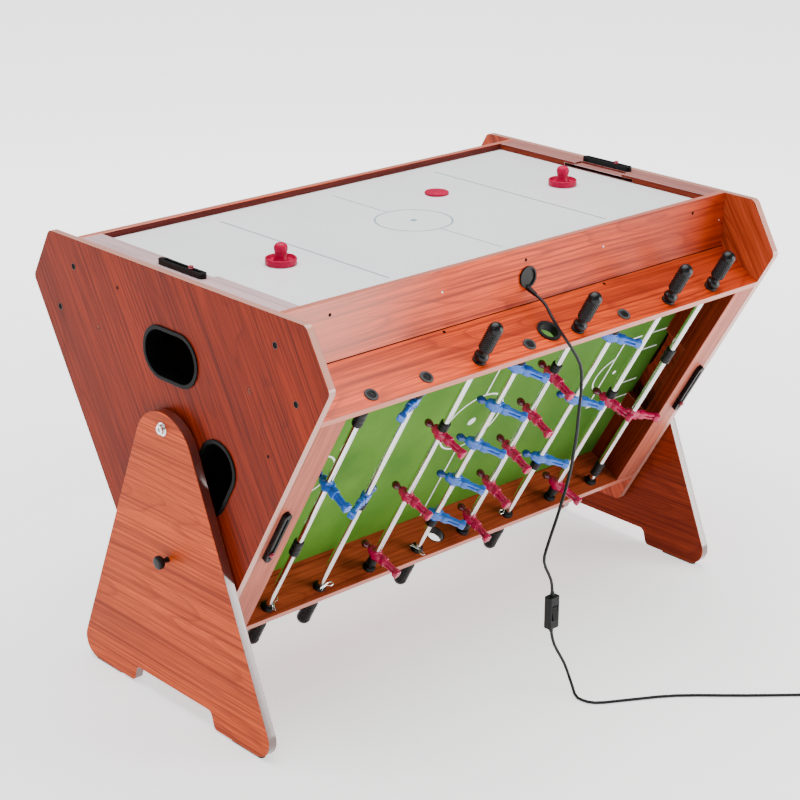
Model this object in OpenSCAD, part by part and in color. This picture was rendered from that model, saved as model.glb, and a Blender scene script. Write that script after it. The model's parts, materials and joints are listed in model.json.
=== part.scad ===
// Three-in-one turning games table: a three-sided cabinet with air hockey, table football
// and pool on its faces turns on an axle between two leg panels.
// Frame: +X along the axle, +Y to the rear, +Z up, origin on the floor under the middle.

/* [Cabinet] */
// Length over the two end panels
cabinet_len = 1166; // [1100:2:1240]
// Straight edge of one game face between its cropped corners
face_flat = 744; // [700:2:780]
// Length of each cropped corner of the end panels
corner_crop = 117; // [90:1:140]
// Width of each game box over its two side boards
box_w = 600; // [560:2:620]
// Thickness of the side boards and end panels
board_t = 15; // [12:1:18]

/* [Stand] */
// Height of the axle above the floor
axle_z = 560; // [545:1:600]
// Thickness of a leg panel
leg_t = 18; // [15:1:22]
// Gap between a leg panel and an end panel
leg_gap = 6; // [4:1:10]
// Half width of a leg panel at the floor
leg_foot = 302; // [280:1:320]

/* [Air hockey] */
// Depth of the hockey playfield below the rim
hockey_depth = 13; // [10:1:20]
// Half length of the hockey playfield
hockey_half = 523; // [515:1:530]
// Radius of a mallet
mallet_r = 29; // [26:1:34]
// Radius of the puck
puck_r = 24.5; // [22:0.5:28]

/* [Table football] */
// Depth of the football playfield below the rim
pitch_depth = 89; // [86:1:95]
// Depth of the rod axes below the rim
rod_depth = 22.5; // [20:0.5:26]
// Distance from one rod to the next
rod_pitch = 127; // [126:1:130]
// Radius of a rod tube
rod_r = 6.5; // [6:0.5:7]
// Length of a rod's hand grip
grip_len = 86; // [70:1:86]
// Distance of the outermost player from the middle, with the rod pushed home
outer_man = 242; // [236:1:246]

/* [Pool] */
// Depth of the pool bed below the rim
pool_depth = 40; // [34:1:50]

/* [Cord] */
// Diameter of the mains cord
cord_d = 6; // [5:0.5:7]

/* [Hidden] */
RODS = 8;
ROD_IDS = [for (i = [1:RODS]) i];

$fn = 48;
running = 0.06;      // radial clearance of a running fit
face_gap = 0.3;      // gap between faces of parts that move past each other

wood = "#a4452f";
wood_edge = "#c9897a";
black = "#1b1b1d";
steel = "#c9ccd0";
red = "#cf1f3f";
blue = "#1f6fd0";

// Section of the cabinet: an equilateral triangle with cropped corners
side = face_flat + 2 * corner_crop;
apothem = side / (2 * sqrt(3));
corner_in = (side - box_w) / 2;      // from a box's outer face to the uncropped corner
inner_half = box_w / 2 - board_t;
cabinet_half = cabinet_len / 2;
inside_x = cabinet_half - board_t;   // inner face of an end panel
leg_in = cabinet_half + leg_gap;     // inner face of a leg panel
leg_out = leg_in + leg_t;

// Axle, locks and legs
axle_r = 8;
bolt_head_r = 9;
bolt_head_h = 8;
washer_r = 13;
lock_r = 5;
lock_radius = 256;                   // lock holes lie on this circle, a third of a turn apart
lock_travel = 12;
glide_h = 4;
leg_top_r = 86;
leg_rise = 31;                       // the leg's top above the axle
leg_lean = 22.6;                     // angle of a leg's sides from upright
notch_top = 115;
notch_foot = 125;
notch_h = 34;

// Rods, counted from the left. Players on each, and which board their grips stand at
men_on = [1, 2, 3, 5, 5, 3, 2, 1];
grip_on_top = [false, false, true, false, true, false, true, true];
men_turn = [0, -65, 10, 40, 0, 50, 15, 60];   // lean of each row, in degrees
goalie_travel = 68;
man_half = 11;
rod_w = apothem - rod_depth;
flange_out = 5;
flange_in = 8;
grip_from = box_w / 2 + flange_out + 1;
tube_from = -(inner_half - flange_in - 4);
inner_rod_r = 4.42;
tube_bore_r = 4.5;
bush_r = 10;
flange_r = 13;
bumper_len = 18;
collar_len = 36;
collar_at = 175;
serve_depth = 37.5;
serve_r = 20;

// Rails and scorers
pitch_half = 510;                    // half length of the football playfield
bar_x = 551;
bar_w = 16;
bar_len = 130;
bar_h = 10;
slot_w = 5;
slot_h = 3;
slot_len = 108;
slider_r = 5;
score_at = [-25, -25, -42, -42];     // rest place of each slider along its bar
goal_half = 95;

// Air box and blower
plenum_h = 35;
blower_y = -150;
blower_r = 60;
blower_h = 70;
outlet = [5, 785];                   // x and height of the cord's outlet in the front board
outlet_r = 18;
relief_at = [5, 765];
relief_tilt = 22;
relief_len = 23;

// Places of the loose pieces on the hockey playfield
mallet_left_at = [-370, -50];
mallet_right_at = [405, -10];
puck_at = [165, 110];
field_z = axle_z + apothem - hockey_depth;

// The cord's route from the grommet, down over the football rim and along the floor
cord_r = cord_d / 2;
cord_route = [
    [5, -320, 757], [5, -345, 745], [0, -370, 725], [0, -390, 705], [10, -405, 680],
    [30, -415, 640], [30, -420, 600], [20, -425, 550], [15, -425, 500], [0, -425, 430],
    [-25, -425, 365], [-50, -425, 310], [-60, -425, 275], [-45, -430, 235], [-40, -430, 200],
    [-40, -430, 135], [-30, -430, 95], [-10, -440, 50], [-10, -460, 15], [-25, -490, 3],
    [-15, -525, 3], [40, -560, 3], [120, -610, 3], [220, -700, 3], [320, -785, 3],
    [365, -815, 3]];
coil_at = [395, -795];
coil_r = 33;
switch_z = [135, 200];
switch_at = [-40, -430];
rocker_z = 167;                      // height of the rocker's pivot
rocker_half = 15;                    // half length of the rocker's opening
plug_turn = -60;                     // where the plug's lead leaves the coil

function unit(v) = v / norm(v);

// Corner points of an outline with every corner rounded to its own radius
function rounded(pts, radii, steps = 8) = [
    for (i = [0:len(pts) - 1])
        let (p = pts[i],
             a = pts[(i + len(pts) - 1) % len(pts)],
             b = pts[(i + 1) % len(pts)],
             u = unit(a - p),
             v = unit(b - p),
             half = acos(u * v) / 2,
             turn = 180 - 2 * half,
             bend = (p[0] - a[0]) * (b[1] - p[1]) - (p[1] - a[1]) * (b[0] - p[0]) > 0 ? turn : -turn,
             centre = p + unit(u + v) * radii[i] / sin(half),
             start = p + u * radii[i] / tan(half) - centre,
             first = atan2(start[1], start[0]))
        for (k = [0:steps])
            centre + radii[i] * [cos(first + bend * k / steps), sin(first + bend * k / steps)]];

module at_axle() translate([0, 0, axle_z]) children();

// Local frame of a game face: x along the axle, y across the face, z outwards from the axle.
// Face 0 is hockey on top, 1 football at the front and below, 2 pool at the rear and below.
module face(k) at_axle() rotate([120 * k, 0, 0]) children();

// Extrudes a (y, z) outline along x, from x0 to x1
module along_x(x0, x1) translate([x0, 0, 0]) rotate([90, 0, 90]) linear_extrude(x1 - x0) children();

module box(lo, hi) translate(lo) cube(hi - lo);

module x_cylinder(r, x0, x1) translate([x0, 0, 0]) rotate([0, 90, 0]) cylinder(r = r, h = x1 - x0);

module y_cylinder(r, y0, y1) translate([0, y0, 0]) rotate([-90, 0, 0]) cylinder(r = r, h = y1 - y0);

module both_ends() for (s = [0, 1]) mirror([s, 0, 0]) children();

module both_sides() for (s = [0, 1]) mirror([0, s, 0]) children();

// A flat bar with round ends, lying along y
module stadium(len, w) {
    square([w, len - w], center = true);
    for (s = [-1, 1]) translate([0, s * (len - w) / 2]) circle(d = w);
}

// ---------------------------------------------------------------- stand

leg_top_half = (leg_top_r - 0.1) * tan((90 - leg_lean) / 2);

module leg_outline()
    polygon(rounded(
        [[-leg_foot, glide_h], [-notch_foot, glide_h], [-notch_top, glide_h + notch_h],
         [notch_top, glide_h + notch_h], [notch_foot, glide_h], [leg_foot, glide_h],
         [leg_top_half, axle_z + leg_rise], [-leg_top_half, axle_z + leg_rise]],
        [36, 10, 12, 12, 10, 36, leg_top_r - 0.2, leg_top_r - 0.2]));

module leg()
    color(wood) difference() {
        along_x(leg_in, leg_out) leg_outline();
        at_axle() x_cylinder(axle_r, leg_in - 1, leg_out + 1);
        at_axle() translate([0, 0, -lock_radius])
            x_cylinder(lock_r + running, leg_in - 1, leg_out + 1);
    }

module leg_left() mirror([1, 0, 0]) leg();

module leg_right() leg();

module foot_glides()
    color(black)
        both_ends() both_sides()
            translate([leg_in + leg_t / 2, (leg_foot + notch_foot) / 2, 0])
                linear_extrude(glide_h) stadium(90, 14);

// Bolt, outer washer, spacer in the gap, and the washer and nut inside the cabinet
module axle_bolt() {
    nut_x = inside_x - 14;
    at_axle() {
        x_cylinder(axle_r, nut_x, leg_out);
        difference() {
            x_cylinder(bolt_head_r, leg_out, leg_out + bolt_head_h);
            translate([leg_out + bolt_head_h - 4, 0, 0]) rotate([0, 90, 0])
                cylinder(r = 4.5, h = 5, $fn = 6);
        }
        difference() {
            x_cylinder(washer_r, leg_out, leg_out + 2);
            x_cylinder(bolt_head_r + running, leg_out - 1, leg_out + 3);
        }
        difference() {
            x_cylinder(20, cabinet_half + face_gap, leg_in);
            x_cylinder(axle_r + running, cabinet_half, leg_in + 1);
        }
        difference() {
            translate([nut_x, 0, 0]) rotate([0, 90, 0]) cylinder(r = 14, h = 10, $fn = 6);
            x_cylinder(axle_r + running, nut_x - 1, nut_x + 11);
        }
    }
}

module axle_bolts() color(steel) both_ends() axle_bolt();

// Round knob on a plunger, drawn back out of the cabinet's lock hole
module lock_knob()
    color(black) at_axle() translate([0, 0, -lock_radius]) {
        x_cylinder(lock_r, leg_in + 1, leg_out + lock_travel + 1);
        translate([leg_out + lock_travel + 0.5, 0, 0]) rotate([0, 90, 0]) rotate_extrude()
            polygon([[0, 0], [9, 0], [13, 3], [13, 11], [11, 13], [0, 13.5]]);
    }

module lock_knob_left() mirror([1, 0, 0]) lock_knob();

module lock_knob_right() lock_knob();

// ---------------------------------------------------------------- end panels and boards

hand_r = 131;                        // hand holes lie this far from the axle
HAND_FACES = [0, 1];                 // the hockey and football faces have one each
hand_w = 152;
hand_h = 94;
trim_t = 3;

module panel_outline() {
    corners = [for (k = [0:2], s = [1, -1])
        let (y = s * face_flat / 2, z = apothem)
        [y * cos(120 * k) - z * sin(120 * k), y * sin(120 * k) + z * cos(120 * k)]];
    polygon(rounded(corners, [for (c = corners) 15]));
}

module hand_hole(grow) translate([0, hand_r]) rotate(90) stadium(hand_w + grow, hand_h + grow);

module end_panel()
    color(wood) difference() {
        at_axle() along_x(inside_x, cabinet_half) panel_outline();
        for (k = HAND_FACES) face(k) along_x(inside_x - 1, cabinet_half + 1) hand_hole(0);
        for (k = [0:2]) face(k) rotate([60, 0, 0]) translate([0, 0, lock_radius])
            x_cylinder(lock_r + 0.4, cabinet_half - 10, cabinet_half + 1);
        at_axle() x_cylinder(axle_r + running, inside_x - 1, cabinet_half + 1);
    }

module end_panel_left() mirror([1, 0, 0]) end_panel();

module end_panel_right() end_panel();

// A black sleeve with a flange lines each hand hole
module hand_hole_trims()
    color(black) both_ends() for (k = HAND_FACES) face(k) difference() {
        union() {
            along_x(inside_x - 20, cabinet_half) hand_hole(-face_gap);
            along_x(cabinet_half, cabinet_half + trim_t) hand_hole(8);
        }
        along_x(inside_x - 21, cabinet_half + trim_t + 1) hand_hole(-8);
    }

// Two side boards of one game box, mitred where they meet the next box's boards
module side_board() {
    outer = box_w / 2;
    along_x(-inside_x, inside_x)
        polygon([[outer, apothem], [inner_half, apothem],
                 [inner_half, apothem - (corner_in + board_t) * tan(30)],
                 [outer, apothem - corner_in * tan(30)]]);
}

module hockey_side_boards()
    color(wood) face(0) difference() {
        both_sides() side_board();
        translate([outlet[0], 0, outlet[1] - axle_z]) y_cylinder(outlet_r, -box_w / 2 - 1, -inner_half + 1);
    }

module pool_side_boards() color(wood) face(2) both_sides() side_board();

module foosball_side_boards()
    color(wood) face(1) difference() {
        both_sides() side_board();
        for (i = ROD_IDS) translate([rod_x(i), 0, rod_w]) both_sides()
            y_cylinder(bush_r, inner_half - 1, box_w / 2 + 1);
        translate([0, 0, apothem - serve_depth]) both_sides()
            y_cylinder(serve_r, inner_half - 1, box_w / 2 + 1);
    }

// Dished cord outlet with a tapered strain relief, and the two rings that the football ball
// is served through
module board_grommets() color(black) {
    front = -box_w / 2;
    translate([outlet[0], 0, outlet[1]]) difference() {
        union() {
            y_cylinder(outlet_r, front, -inner_half);
            y_cylinder(outlet_r + 3, front - 4, front);
        }
        y_cylinder(outlet_r - 1, front - 5, front - 1);
    }
    translate([relief_at[0], front - 1, relief_at[1]]) rotate([90 + relief_tilt, 0, 0])
        cylinder(r1 = 5.5, r2 = 4, h = relief_len);
    face(1) translate([0, 0, apothem - serve_depth]) both_sides() difference() {
        union() {
            y_cylinder(serve_r, inner_half, box_w / 2);
            y_cylinder(serve_r + 4, box_w / 2, box_w / 2 + 3);
        }
        y_cylinder(serve_r - 2.5, inner_half - 1, box_w / 2 + 4);
    }
}

// ---------------------------------------------------------------- air hockey

// Hollow air box under a thin top sheet, with the blower's inlet in its floor
module hockey_playfield() {
    top = apothem - hockey_depth;
    color("white") face(0) difference() {
        box([-hockey_half, -inner_half, top - plenum_h], [hockey_half, inner_half, top]);
        box([-hockey_half + 15, -inner_half + 15, top - plenum_h + 4],
            [hockey_half - 15, inner_half - 15, top - 5]);
        translate([0, blower_y, top - plenum_h - 1]) cylinder(r = 45, h = 6);
    }
}

// End rails with a puck slot and the chute behind it, cut back beside the scorer
module hockey_end_rails() {
    top = apothem - hockey_depth;
    color(wood_edge) face(0) both_ends() difference() {
        box([hockey_half, -inner_half, top - plenum_h], [inside_x, inner_half, apothem]);
        box([hockey_half - 1, -goal_half, top], [inside_x - 8, goal_half, top + 7]);
        box([hockey_half + 10, -goal_half, top - plenum_h - 1], [inside_x - 8, goal_half, top + 1]);
        box([hockey_half - 1, -bar_len / 2, apothem - 5],
            [bar_x - bar_w / 2, bar_len / 2, apothem + 1]);
    }
}

module blower_housing() {
    top = apothem - hockey_depth - plenum_h;
    color(black) face(0) translate([0, blower_y, top - blower_h]) difference() {
        cylinder(r = blower_r, h = blower_h);
        translate([0, 0, 4]) cylinder(r = blower_r - 4, h = blower_h);
        translate([0, 0, -1]) cylinder(r = 40, h = 6);
    }
}

// Squirrel-cage rotor: floor disc, hub and blades
module blower_fan() {
    bottom = apothem - hockey_depth - plenum_h - blower_h;
    color("dimgray") face(0) translate([0, blower_y, bottom + 10]) {
        cylinder(r = 50, h = 3);
        cylinder(r = 10, h = 40);
        for (a = [0:30:330]) rotate(a) translate([40, -1, 2]) cube([9, 2, 38]);
    }
}

module mallet(at)
    color(red) translate([at[0], at[1], field_z + 0.2]) rotate_extrude()
        polygon([[0, 0], [mallet_r - 1, 0], [mallet_r, 1], [mallet_r, 11], [mallet_r - 1.5, 12.5],
                 [mallet_r - 4, 11], [mallet_r - 5, 6], [13, 6], [12.5, 28], [11, 34], [7, 38],
                 [0, 39.5]]);

module mallet_left() mallet(mallet_left_at);

module mallet_right() mallet(mallet_right_at);

module puck()
    color(red) translate([puck_at[0], puck_at[1], field_z + 0.2]) rotate_extrude()
        polygon([[0, 0], [puck_r - 0.6, 0], [puck_r, 0.6], [puck_r, 4.4], [puck_r - 0.6, 5], [0, 5]]);

// ---------------------------------------------------------------- table football

function rod_x(i) = (i - (RODS + 1) / 2) * rod_pitch;
function men_pitch(n) = n == 2 ? 260 : n == 3 ? 175 : 105;
function half_travel(n) = n == 1 ? goalie_travel : outer_man - (n - 1) * men_pitch(n) / 2;
function man_at(n, k) = -half_travel(n) + (k - (n - 1) / 2) * men_pitch(n);

// Local frame of a rod pushed home: z along the rod towards its grip, y outwards from the face
module rod_frame(i)
    face(1) translate([rod_x(i), 0, rod_w]) rotate([90, 0, grip_on_top[i - 1] ? 180 : 0]) children();

module ring(r, bore, z0, z1)
    translate([0, 0, z0]) difference() {
        cylinder(r = r, h = z1 - z0);
        translate([0, 0, -1]) cylinder(r = bore, h = z1 - z0 + 2);
    }

module foosball_playfield()
    color("#3f8f32") face(1)
        box([-pitch_half - board_t, -inner_half, apothem - pitch_depth - 6],
            [pitch_half + board_t, inner_half, apothem - pitch_depth]);

// End rails: a wall with the goal mouth in it, and a cover over the ball's way out
module foosball_end_rails() {
    floor_z = apothem - pitch_depth;
    color(wood_edge) face(1) both_ends() {
        difference() {
            box([pitch_half, -inner_half, floor_z], [inside_x, inner_half, apothem]);
            box([pitch_half + board_t, -inner_half + board_t, floor_z - 1],
                [inside_x + 1, inner_half - board_t, apothem - board_t]);
            box([pitch_half - 1, -goal_half, floor_z - 1], [pitch_half + board_t + 1, goal_half, floor_z + 58]);
        }
    }
}

// The grip's side has a true bore for the tube, and the far side holds the inner rod
module rod_bushings()
    color(black) for (i = ROD_IDS) rod_frame(i) {
        difference() {
            union() {
                translate([0, 0, inner_half]) cylinder(r = bush_r, h = board_t);
                translate([0, 0, inner_half - flange_in]) cylinder(r = flange_r, h = flange_in);
                translate([0, 0, inner_half + board_t]) cylinder(r = flange_r, h = flange_out);
            }
            translate([0, 0, inner_half - flange_in - 1]) cylinder(r = rod_r + running, h = 40);
        }
        mirror([0, 0, 1]) difference() {
            union() {
                translate([0, 0, inner_half]) cylinder(r = bush_r, h = board_t);
                translate([0, 0, inner_half - flange_in]) cylinder(r = flange_r, h = flange_in);
                translate([0, 0, inner_half + board_t]) cylinder(r = flange_r, h = 3);
            }
            translate([0, 0, inner_half - flange_in - 1]) cylinder(r = inner_rod_r, h = flange_in + 14);
        }
    }

// Fixed inner rods that the tubes slide over
module telescope_rods()
    color(steel) for (i = ROD_IDS) rod_frame(i) {
        start = -(inner_half + 12);
        reach = tube_from + 2 * half_travel(men_on[i - 1]) + 45;
        translate([0, 0, start]) cylinder(r = inner_rod_r, h = reach - start);
    }

// Steel tube with a ribbed rubber grip on its end
module rod(i) rod_frame(i) {
    color(steel) ring(rod_r, tube_bore_r, tube_from, grip_from + grip_len - 16);
    color(black) translate([0, 0, grip_from]) rotate_extrude()
        polygon(concat(
            [[rod_r + running, 0], [12, 0]],
            [for (k = [0:6]) each [[12, 4 + 9 * k], [14, 6 + 9 * k], [14, 9 + 9 * k], [12, 11 + 9 * k]]],
            [for (a = [0:15:90]) [14 * cos(a), grip_len - 14 + 14 * sin(a)]],
            [[0, grip_len - 15], [rod_r + running, grip_len - 15]]));
}

// One player: head, shoulders and hips across the rod, and one leg block with a kicking foot.
// The player stands along y with the foot at +y, and the rod runs along z.
module man() difference() {
    union() {
        translate([0, 0, -man_half]) linear_extrude(2 * man_half)
            polygon([[-6, -17], [6, -17], [9, -8], [9, 9], [6, 16], [-6, 16], [-9, 9], [-9, -8]]);
        translate([0, 0, -man_half]) cylinder(r = 10, h = 2 * man_half);
        translate([0, 0, -8]) linear_extrude(16)
            polygon([[-5, 14], [5, 14], [5, 44], [8, 50], [9, 62], [-6, 62], [-6, 50], [-4, 44]]);
        translate([0, -21, 0]) rotate([90, 0, 0]) cylinder(r = 5, h = 12, center = true);
        translate([0, -29, 0]) sphere(r = 9);
    }
    translate([0, 0, -man_half - 1]) cylinder(r = rod_r + 0.02, h = 2 * man_half + 2);
}

module rod_men(i) {
    n = men_on[i - 1];
    turn = grip_on_top[i - 1] ? men_turn[i - 1] : -men_turn[i - 1];
    color(grip_on_top[i - 1] ? red : blue) rod_frame(i) rotate(turn)
        for (k = [0:n - 1]) translate([0, 0, man_at(n, k)]) man();
}

// Rubber rings beside the outer players, or the collars that hold a goalkeeper near the goal
module rod_bumpers(i) {
    n = men_on[i - 1];
    lone = n == 1;
    first = man_at(n, 0);
    last = man_at(n, n - 1);
    reach = lone ? collar_at - collar_len / 2 : man_half + face_gap;
    len = lone ? collar_len : bumper_len;
    color(black) rod_frame(i) {
        ring(10, rod_r + running, first - reach - len, first - reach);
        ring(10, rod_r + running, last + reach, last + reach + len);
    }
}

// ---------------------------------------------------------------- pool

pocket_r = 29;

module pool_bed()
    color("darkgreen") face(2) difference() {
        box([-inside_x, -inner_half, apothem - pool_depth - 12],
            [inside_x, inner_half, apothem - pool_depth]);
        for (x = [-1, 0, 1]) both_sides()
            translate([x * (inside_x - 26), inner_half - 26, apothem - pool_depth - 13])
                cylinder(r = pocket_r, h = 14);
    }

// Cushion profile: y is the distance out from the board behind it, z the height over the bed
module cushion(len) translate([-len / 2, 0, 0]) rotate([90, 0, 90]) linear_extrude(len)
    polygon([[0, 0], [18, 0], [20, 18], [30, 26], [27, 32], [0, 32]]);

module pool_cushions() {
    bed = apothem - pool_depth;
    long = inside_x - 120;
    color("darkgreen") face(2) {
        both_sides() both_ends()
            translate([inside_x / 2 - 2, -inner_half, bed]) cushion(long);
        both_ends() translate([-inside_x, 0, bed]) rotate(-90) cushion(2 * inner_half - 150);
    }
}

// ---------------------------------------------------------------- scorers

module scorer_bar() translate([bar_x, 0, apothem]) difference() {
    linear_extrude(bar_h) stadium(bar_len, bar_w);
    translate([0, 0, bar_h - slot_h]) linear_extrude(slot_h + 1) stadium(slot_len, slot_w);
}

module scorer_bars() color(black) for (k = [0, 1]) face(k) both_ends() scorer_bar();

// Red slider with a tongue in the bar's slot
module score_slider(k, end, along)
    color(red) face(k) translate([end * bar_x, along, apothem + bar_h]) {
        translate([0, 0, face_gap]) cylinder(r1 = slider_r, r2 = slider_r - 1, h = 5, $fn = 24);
        translate([0, 0, -slot_h + face_gap])
            cylinder(r = slot_w / 2 - face_gap, h = slot_h + 1, $fn = 24);
    }

module hockey_score_left() score_slider(0, -1, score_at[0]);

module hockey_score_right() score_slider(0, 1, score_at[1]);

module foosball_score_left() score_slider(1, -1, score_at[2]);

module foosball_score_right() score_slider(1, 1, score_at[3]);

// ---------------------------------------------------------------- cord

cord_sides = 10;

// Smooth curve through the route: each span is a cubic set by its neighbours
function span_point(p, t) =
    0.5 * ((2 * p[1]) + (p[2] - p[0]) * t + (2 * p[0] - 5 * p[1] + 4 * p[2] - p[3]) * t * t
        + (3 * p[1] - p[0] - 3 * p[2] + p[3]) * t * t * t);
function on_floor(p) = [p[0], p[1], max(p[2], cord_r)];
function smooth(route) = let (n = len(route) - 1) concat(
    [for (i = [0:n - 1], t = [0, 0.5])
        on_floor(span_point([route[max(i - 1, 0)], route[i], route[i + 1], route[min(i + 2, n)]], t))],
    [route[n]]);
function heading(pts, i) = unit(pts[min(i + 1, len(pts) - 1)] - pts[max(i - 1, 0)]);

module tube_along(pts, r, sides) {
    n = len(pts);
    polyhedron(
        points = [for (i = [0:n - 1])
            let (t = heading(pts, i), u = unit(cross(t, [1, 0, 0])), v = cross(t, u))
            for (a = [0:sides - 1])
                pts[i] + r * (cos(360 * a / sides) * u + sin(360 * a / sides) * v)],
        faces = concat(
            [[for (a = [sides - 1:-1:0]) a]],
            [for (i = [0:n - 2], a = [0:sides - 1]) let (b = (a + 1) % sides)
                [i * sides + a, i * sides + b, (i + 1) * sides + b]],
            [for (i = [0:n - 2], a = [0:sides - 1]) let (b = (a + 1) % sides)
                [i * sides + a, (i + 1) * sides + b, (i + 1) * sides + a]],
            [[for (a = [0:sides - 1]) (n - 1) * sides + a]]));
}

module cord() color(black) tube_along(smooth(cord_route), cord_r, cord_sides);

// Outer shape of the coiled length: a ring two cords wide and two cords high
module cord_coil()
    color(black) translate([coil_at[0], coil_at[1], 0]) rotate_extrude()
        translate([coil_r, 0]) polygon([[-4, 0], [4, 0], [6, 2], [6, 10], [4, 12], [-4, 12], [-6, 10], [-6, 2]]);

// Two-pin plug lying beside the coil, on the end of the lead
module cord_plug()
    color(black) translate([coil_at[0], coil_at[1], 0]) rotate(plug_turn)
        translate([coil_r + 3, 6, 0]) rotate([-90, 0, 0]) {
            translate([0, -9, 22]) linear_extrude(36)
                polygon(rounded([[-12, -9], [12, -9], [12, 9], [-12, 9]], [5, 5, 5, 5]));
            translate([0, -9, 0]) cylinder(r1 = cord_r + 1, r2 = 7, h = 23);
            for (x = [-6.5, 6.5]) translate([x, -9, 57]) cylinder(r = 2.2, h = 19);
        }

// In-line switch hanging on the cord, with a rocker in its front
module switch_body()
    color(black) translate([switch_at[0], switch_at[1], 0]) difference() {
        translate([0, 0, switch_z[0]]) linear_extrude(switch_z[1] - switch_z[0])
            polygon(rounded([[-13, -9], [13, -9], [13, 9], [-13, 9]], [4, 4, 4, 4]));
        box([-7, -10, rocker_z - rocker_half], [7, -3, rocker_z + rocker_half]);
    }

module switch_rocker()
    color("dimgray") translate([switch_at[0], switch_at[1] - 5, rocker_z]) rotate([0, 90, 0]) {
        translate([0, 0, -6.4]) linear_extrude(12.8)
            polygon([[-13, -3], [0, -4.5], [13, -6.5], [13, -3], [2, 1], [-2, 1]]);
    }

// ---------------------------------------------------------------- parts

leg_left();
leg_right();
foot_glides();
axle_bolts();
lock_knob_left();
lock_knob_right();
end_panel_left();
end_panel_right();
hand_hole_trims();
hockey_side_boards();
foosball_side_boards();
pool_side_boards();
hockey_playfield();
hockey_end_rails();
blower_housing();
blower_fan();
foosball_playfield();
foosball_end_rails();
board_grommets();
rod_bushings();
telescope_rods();
pool_bed();
pool_cushions();
scorer_bars();
hockey_score_left();
hockey_score_right();
foosball_score_left();
foosball_score_right();
mallet_left();
mallet_right();
puck();
cord();
cord_coil();
cord_plug();
switch_body();
switch_rocker();
for (i = ROD_IDS) {
    rod(i);
    rod_men(i);
    rod_bumpers(i);
}
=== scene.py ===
"""Looks for the three-in-one turning games table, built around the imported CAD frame."""

import json
import math

import bmesh
import bpy
from mathutils import Matrix, Vector

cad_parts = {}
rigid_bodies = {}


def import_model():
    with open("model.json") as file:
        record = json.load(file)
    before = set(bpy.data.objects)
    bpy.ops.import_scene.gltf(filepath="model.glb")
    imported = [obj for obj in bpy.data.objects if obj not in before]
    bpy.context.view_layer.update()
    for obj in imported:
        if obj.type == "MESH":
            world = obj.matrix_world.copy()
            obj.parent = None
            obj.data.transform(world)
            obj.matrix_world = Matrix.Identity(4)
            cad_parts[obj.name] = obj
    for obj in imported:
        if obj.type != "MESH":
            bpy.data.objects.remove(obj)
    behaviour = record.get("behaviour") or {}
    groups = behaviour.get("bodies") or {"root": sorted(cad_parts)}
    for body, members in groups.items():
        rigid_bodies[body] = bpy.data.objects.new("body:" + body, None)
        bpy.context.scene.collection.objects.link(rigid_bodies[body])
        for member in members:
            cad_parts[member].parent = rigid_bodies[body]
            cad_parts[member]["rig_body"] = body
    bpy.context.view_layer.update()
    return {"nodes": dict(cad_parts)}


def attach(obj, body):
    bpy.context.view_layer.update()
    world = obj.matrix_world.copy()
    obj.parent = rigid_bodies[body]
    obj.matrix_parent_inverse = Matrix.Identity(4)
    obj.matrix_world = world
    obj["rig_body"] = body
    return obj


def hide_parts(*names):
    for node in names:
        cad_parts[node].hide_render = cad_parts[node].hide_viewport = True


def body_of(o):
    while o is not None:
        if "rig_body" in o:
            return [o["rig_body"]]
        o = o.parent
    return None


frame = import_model()

MM = 0.001

# Sizes of the CAD assembly, in metres and degrees
AXLE = 0.560                                    # height of the axle over the floor
SIDE = 0.978                                    # side of the cabinet's triangle
APOTHEM = SIDE / (2 * math.sqrt(3))             # from the axle out to each game face
INSIDE_X, CABINET_X = 0.568, 0.583              # inner and outer faces of the end panels
LEG_OUT = 0.607                                 # outer face of the legs
LOCK_BELOW = 0.256                              # from the axle down to the lock knobs
BOX_HALF, BOARD = 0.300, 0.015                  # half width over the side boards, their thickness
HOCKEY_DEPTH, PITCH_DEPTH = 0.013, 0.089        # playfields below the rims of their boxes
ROD_DEPTH, ROD_PITCH = 0.0225, 0.127            # rods below the rim, and between rods
SCORE_X, SCORE_RISE = 0.551, 0.010              # score sliders along x, and over the rim
MEN = [1, 2, 3, 5, 5, 3, 2, 1]                  # players on each rod
TOP = [False, False, True, False, True, False, True, True]      # rods with their grip at the upper board
TURN = [0, -65, 10, 40, 0, 50, 15, 60]          # lean of each rod's players
FLAT = 0.7              # a face points along a direction when its normal's part along it is over this

# Grids and distances of the materials
HOLE_PITCH, HOLE_EDGE = 0.0254, (0.0006, 0.0009)    # air holes: spacing, and radius where each fades
THREADS = 5200.0                                # phase of the cloth's weave, in radians a metre
GLOW_FROM, GLOW = (1.0, 3.2), (1.0, 2.3)        # the floor's glow grows over these distances
# Painted reflection and painted shade on the boards: a pale veil fades out over the first span, and shade
# darkens them over the second.
BOARD_PAINTED_REFLECTION, BOARD_PAINTED_SHADE = (-0.58, -0.20), (0.00, 0.56)   # where the boards fade along x
# Painted shade on the pitch: it darkens towards +x over this span.
PITCH_PAINTED_SHADE = (-0.15, 0.52)                      # where the pitch darkens along x

# ---------------------------------------------------------------- frames of reference


def shift(x=0.0, y=0.0, z=0.0):
    return Matrix.Translation((x, y, z))


def turn(degrees, axis):
    return Matrix.Rotation(math.radians(degrees), 4, axis)


def face(k):
    """Local frame of a game face: x along the axle, y across the face, z outwards from the axle."""
    return shift(z=AXLE) @ turn(120 * k, "X")


def rod_frame(i):
    """Local frame of rod i (from 0): z along the rod towards its grip, y outwards from the face."""
    x = (i - 3.5) * ROD_PITCH
    return face(1) @ shift(x, 0, APOTHEM - ROD_DEPTH) @ turn(180 if TOP[i] else 0, "Z") @ turn(90, "X")


def end(s):
    """Mirrors the right end's frame to the left when s is -1, as a half turn about the vertical."""
    return turn(0 if s > 0 else 180, "Z")


# ---------------------------------------------------------------- materials


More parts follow.
